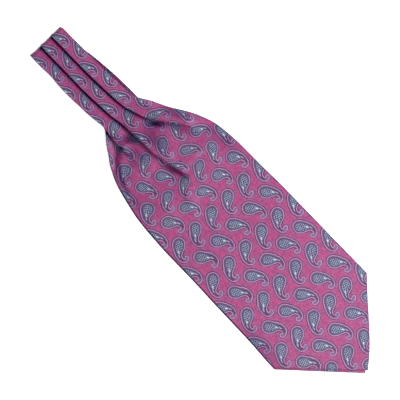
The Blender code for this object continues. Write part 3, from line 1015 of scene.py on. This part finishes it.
def silk_finish(weave, shader, colour, pattern, uneven, along, across):
    """Silk's colour, with painted shade multiplied in where the mesh is shaded, and its sheen and fine
    twill, which the painted shade also dims.
    """
    painted_shade = weave.tree.nodes.new("ShaderNodeAttribute")
    painted_shade.attribute_name = "shade"
    # Painted shade: the colour is multiplied towards the half shade, then towards the deep shade in folds.
    for start, dimmed in ((0.0, pattern.half_shade), (-1.0, pattern.deep_fold_shade)):
        share = weave.scaled(painted_shade.outputs["Fac"], 2.0, start, clamp=True)
        colour = weave.colour(share, colour, tuple(dimmed), "MULTIPLY")
    # Sheen and gloss fade out where shade is painted.
    unshaded = weave.sum("SUBTRACT", 1.0, painted_shade.outputs["Fac"], clamp=True)
    weave.put(shader.inputs["Base Color"], colour)
    weave.put(shader.inputs["Sheen Weight"], weave.times(unshaded, 0.15))
    weave.put(shader.inputs["Specular IOR Level"], weave.times(unshaded, 0.5))
    shader.inputs["Roughness"].default_value = 0.5
    shader.inputs["Sheen Roughness"].default_value = 0.4
    shader.inputs["Sheen Tint"].default_value = (1.0, 0.85, 0.95, 1.0)
    twill = weave.sum("SINE", weave.times(weave.sum("ADD", along, across), math.tau / TWILL_LINE))
    bump = weave.tree.nodes.new("ShaderNodeBump")
    bump.inputs["Strength"].default_value = 0.25
    bump.inputs["Distance"].default_value = 0.0001
    weave.put(bump.inputs["Height"], weave.scaled(uneven, 0.8, weave.times(twill, 0.35)))
    weave.put(shader.inputs["Normal"], bump.outputs["Normal"])


def silk_material(pattern, name):
    """Magenta silk twill with woven paisley drops, and painted shade in its folds and hollows."""
    material = bpy.data.materials.new(name)
    material.use_nodes = True
    weave = Weave(material.node_tree)
    uv = weave.tree.nodes.new("ShaderNodeUVMap")
    uv.uv_map = "cloth"
    place = uv.outputs["UV"]
    parts = weave.tree.nodes.new("ShaderNodeSeparateXYZ")
    weave.put(parts.inputs[0], place)
    uneven = weave.sum("SUBTRACT", weave.noise(place, FIBRE_NOISE, 3.0), 0.5)
    across = weave.times(parts.outputs["Y"], UV_SPAN)
    along = weave.scaled(across, ROWS_LEAN, weave.times(parts.outputs["X"], UV_SPAN))
    side, down, distance = nearest_drop(weave, pattern, along, across)
    distance = weave.scaled(uneven, 0.7, distance)
    ground = ground_colour(weave, pattern, place, uneven, distance)
    colour = drop_colour(weave, pattern, ground, uneven, side, down, distance)
    shader = weave.tree.nodes["Principled BSDF"]
    silk_finish(weave, shader, colour, pattern, uneven, along, across)
    return material


def finish_piece(piece, material, *nodes):
    """Give a piece its material and tie it to the model."""
    piece.data.materials.append(material)
    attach(piece, "root")
    if nodes:
        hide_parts(*nodes)


class CRAVAT_OT_front(bpy.types.Operator):
    """Make the front blade and the neckband on top, one cloth laid in three knife pleats"""

    bl_idname = "cravat.front"
    bl_label = "Front blade and neckband"

    def execute(self, context):
        sizes, pattern = context.scene.cravat_sizes, context.scene.cravat_pattern
        middle, shade = upper_middle(sizes)
        shades = (shade, np.zeros_like(shade))
        sides, places = wall_sides(sizes, middle), cloth_places(middle)
        cloth = closed_cloth(sizes, "cravat_front", sides, ROUNDED_EDGE, places, shades)
        finish_piece(cloth, silk_material(pattern, "paisley_silk"), "blade_front", "neckband_front")
        return {"FINISHED"}


def edge_shade(x, y, shares):
    """Painted shade on the hidden half where it shows beside the upper cloth, strongest along the blade
    and faint at the hem.
    """
    in_band, more_in_blade, less_at_hem = 0.42, 0.4, 0.75
    blade_start, hem_start, shaded_strip = (122.0, 170.0), (470.0, 500.0), (4.0, 9.0)
    from_side = np.minimum(shares, 1.0 - shares) * np.ptp(y, axis=1, keepdims=True)
    strength = in_band + more_in_blade * smooth_step(x, *blade_start)
    strength = strength - less_at_hem * smooth_step(x, *hem_start)
    return strength * (1.0 - smooth_step(from_side, *shaded_strip))


def hidden_pleats(x, y):
    """The hidden half's own two fold edges, seen from below: how deep each place lies beside them from 0
    to 1, and how dark it is painted with shade."""
    groove_width, dark_width, edge_width, set_back = 2.6, 1.6, 0.5, 1.0
    depth, dark = np.zeros_like(x), np.zeros_like(x)
    closing = 1.0 - smooth_step(x, *HIDDEN_PLEATS_END)
    for fold in ("fold_a", "fold_b"):
        past = y - column(SECTIONS, fold, x) + set_back
        before = np.exp(np.minimum(past, 0.0) / edge_width)
        depth = np.maximum(depth, closing * np.where(past > 0, np.exp(-past / groove_width), before))
        dark = np.maximum(dark, closing * np.where(past > 0, np.exp(-past / dark_width), before))
    return depth, dark


class CRAVAT_OT_under(bpy.types.Operator):
    """Make the hidden half, the neckband that turns under at the fold and the blade beneath"""

    bl_idname = "cravat.under"
    bl_label = "Hidden half"

    def execute(self, context):
        sizes, pattern = context.scene.cravat_sizes, context.scene.cravat_pattern
        fold, flat, tip = sizes.fold_axis / MM, sizes.pleats_end / MM, 0.8
        shares = np.linspace(0.0, 1.0, UNDER_COLUMNS)
        edges = lambda x: under_edges(sizes, x)
        rows = []
        for along in np.concatenate([np.linspace(tip, 6.1, 12), np.linspace(8.0, flat, 100)]):
            right, left = edges(along)
            y = right - shares * (right - left)
            rows.append((np.full_like(y, along), y))
        parts = np.linspace(0.0, 1.0, 110)[1:]
        rows += [pointed_row(sizes, part, shares, edges, UNDER_HEM) for part in parts]
        x, y = np.array([row[0] for row in rows]), np.array([row[1] for row in rows])
        top = under_top(sizes, x, y)
        from_end = np.clip((x - tip) / (fold - tip), 0.0, 1.0)
        nose_height, groove_share, groove_depth = 0.62 * sizes.band_under / MM, 0.4, 0.9
        bottom = nose_height * (1.0 - np.sqrt(1.0 - (1.0 - from_end) ** 2))
        grooves, groove_shade = hidden_pleats(x, y)
        bottom = bottom + grooves * np.minimum(groove_share * top, groove_depth)
        sides = np.stack([x, y, top], axis=-1), np.stack([x, y, bottom], axis=-1)
        places, shades = np.stack([x, y], axis=-1), (edge_shade(x, y, shares), groove_shade)
        standing = (0.3, 1.0, 1.0, 1.0)
        cloth = closed_cloth(sizes, "cravat_under", sides, TWO_PLY_EDGE, places, shades, standing)
        finish_piece(cloth, silk_material(pattern, "paisley_silk_under"), "blade_under", "neckband_under")
        return {"FINISHED"}


def visible_height(sizes, along, y):
    """Top of the upper cloth at one place, on whichever strip lies uppermost there."""
    line = upper_row(sizes, along)
    across, up = line[:, 1], line[:, 2]
    low, high = np.minimum(across[:-1], across[1:]), np.maximum(across[:-1], across[1:])
    over = (low <= y) & (y <= high) & (high > low)
    share = (y - across[:-1][over]) / (across[1:] - across[:-1])[over]
    return float((up[:-1][over] + share * (up[1:] - up[:-1])[over]).max()) + sizes.cloth / MM / 2


def thread_material(colour):
    """Twisted silk thread."""
    material = bpy.data.materials.new("silk_thread")
    material.use_nodes = True
    weave = Weave(material.node_tree)
    shader = weave.tree.nodes["Principled BSDF"]
    place = weave.tree.nodes.new("ShaderNodeTexCoord").outputs["Object"]
    parts = weave.tree.nodes.new("ShaderNodeSeparateXYZ")
    weave.put(parts.inputs[0], place)
    twist = weave.sum("SINE", weave.times(weave.sum("ADD", parts.outputs["X"], parts.outputs["Y"]), TWIST))
    fibres = weave.noise(place, THREAD_NOISE)
    dark, pale = (tuple(c * k for c in colour) for k in (0.6, 1.1))
    share = weave.scaled(twist, 0.3, fibres, clamp=True)
    weave.put(shader.inputs["Base Color"], weave.colour(share, dark, pale))
    weave.put(shader.inputs["Roughness"], weave.scaled(fibres, 0.3, 0.3))
    return material


def add_stitch(sizes, sewing, middle, points, faces):
    """Add one stitch's points and faces: a short thread that dips into the cloth at both its ends."""
    along, half, thread = sizes.stitch_line / MM, sewing.length / MM / 2, sewing.thread / MM / 2
    rounding, rise, dip = 1.02, 0.5, 1.3
    starts = [len(points) + ring * STITCH_SIDES for ring in range(STITCH_RINGS)]
    for step in np.linspace(-1.0, 1.0, STITCH_RINGS):
        y = middle + step * half
        radius = thread * math.sqrt(rounding - step * step)
        lift = visible_height(sizes, along, y) + thread * (rise - dip * step**4)
        for angle in np.arange(STITCH_SIDES) * math.tau / STITCH_SIDES:
            x = along + radius * math.cos(angle) + STITCH_SLANT * step
            points.append((x, y, lift + radius * math.sin(angle)))
    for start, after in zip(starts, starts[1:]):
        for k in range(STITCH_SIDES):
            turned = (k + 1) % STITCH_SIDES
            faces.append((start + k, after + k, after + turned, start + turned))
    faces.append(tuple(starts[0] + k for k in range(STITCH_SIDES)))
    faces.append(tuple(starts[-1] + k for k in reversed(range(STITCH_SIDES))))


class CRAVAT_OT_stitches(bpy.types.Operator):
    """Sew the pleats down with a row of small stitches across the neckband's end"""

    bl_idname = "cravat.stitches"
    bl_label = "Stitches"

    def execute(self, context):
        sizes, sewing = context.scene.cravat_sizes, context.scene.cravat_sewing
        along, spacing, half = sizes.stitch_line / MM, sewing.spacing / MM, sewing.length / MM / 2
        right, left = (float(edge) for edge in upper_edges(along))
        folds = [float(column(SECTIONS, name, along)) for name in ("fold_a", "fold_b", "fold_c")]
        points, faces = [], []
        for middle in np.arange(right - spacing, left + half, -spacing):
            if all(abs(middle - fold) > half + CLEAR_OF_FOLDS for fold in folds):
                add_stitch(sizes, sewing, middle, points, faces)
        stitches = add_piece(sizes, "cravat_stitches", points, faces)
        finish_piece(stitches, thread_material(context.scene.cravat_pattern.ground))
        return {"FINISHED"}


class CRAVAT_OT_stage(bpy.types.Operator):
    """Make the floor, the soft lights and the camera"""

    bl_idname = "cravat.stage"
    bl_label = "Studio"

    def execute(self, context):
        studio = context.scene.cravat_studio
        reach = FLOOR_REACH
        corners = [(-reach, -reach, 0), (reach, -reach, 0), (reach, reach, 0), (-reach, reach, 0)]
        floor_mesh = bpy.data.meshes.new("floor")
        floor_mesh.from_pydata(corners, [], [(0, 1, 2, 3)])
        floor = bpy.data.objects.new("floor", floor_mesh)
        floor.location.z = -FLOOR_DEPTH
        context.collection.objects.link(floor)
        material = bpy.data.materials.new("pale_floor")
        material.use_nodes = True
        shader = material.node_tree.nodes["Principled BSDF"]
        shader.inputs["Base Color"].default_value = (*studio.floor, 1.0)
        shader.inputs["Roughness"].default_value = 0.9
        shader.inputs["Emission Color"].default_value = (1.0, 1.0, 1.0, 1.0)
        shader.inputs["Emission Strength"].default_value = FLOOR_GLOW
        floor_mesh.materials.append(material)
        world = bpy.data.worlds.new("studio")
        world.use_nodes = True
        world.node_tree.nodes["Background"].inputs["Color"].default_value = (1.0, 1.0, 1.0, 1.0)
        world.node_tree.nodes["Background"].inputs["Strength"].default_value = WORLD_LIGHT
        context.scene.world = world
        for name, place, size, power in LIGHTS:
            light = bpy.data.objects.new(name, bpy.data.lights.new(name, "AREA"))
            light.data.size, light.data.energy = size, power
            light.location = place
            light.rotation_euler = (-light.location).to_track_quat("-Z", "Y").to_euler()
            context.collection.objects.link(light)
        camera = bpy.data.objects.new("camera", bpy.data.cameras.new("camera"))
        camera.data.type = "PERSP"
        camera.data.sensor_width = SENSOR_WIDTH
        camera.data.lens = SENSOR_WIDTH * (CAMERA_PLACE[2] - CLOTH_HEIGHT) / studio.view_width
        camera.data.clip_start, camera.data.clip_end = 0.1, 20.0
        camera.location = CAMERA_PLACE
        camera.rotation_euler = (0.0, 0.0, studio.turn)
        context.collection.objects.link(camera)
        context.scene.camera = camera
        context.scene.view_settings.view_transform = "Standard"
        return {"FINISHED"}


class CRAVAT_PT_panel(bpy.types.Panel):
    """The cravat's pieces and studio"""

    bl_idname = "CRAVAT_PT_panel"
    bl_label = "Silk cravat"
    bl_space_type = "VIEW_3D"
    bl_region_type = "UI"
    bl_category = "Cravat"

    def draw(self, context):
        layout = self.layout
        for group_name, group in GROUPS.items():
            for name in group.__annotations__:
                layout.prop(getattr(context.scene, group_name), name)
        for operator in OPERATORS:
            layout.operator(operator.bl_idname)


GROUPS = {
    "cravat_sizes": CravatSizes,
    "cravat_pattern": CravatPattern,
    "cravat_sewing": CravatSewing,
    "cravat_studio": CravatStudio,
}
OPERATORS = (CRAVAT_OT_under, CRAVAT_OT_front, CRAVAT_OT_stitches, CRAVAT_OT_stage)


def register():
    for kind in (*GROUPS.values(), *OPERATORS, CRAVAT_PT_panel):
        bpy.utils.register_class(kind)
    for name, group in GROUPS.items():
        setattr(bpy.types.Scene, name, bpy.props.PointerProperty(type=group))


def unregister():
    for name in GROUPS:
        delattr(bpy.types.Scene, name)
    for kind in reversed((*GROUPS.values(), *OPERATORS, CRAVAT_PT_panel)):
        bpy.utils.unregister_class(kind)


def main():
    register()
    bpy.ops.cravat.under()
    bpy.ops.cravat.front()
    bpy.ops.cravat.stitches()
    bpy.ops.cravat.stage()


if __name__ == "__main__":
    main()
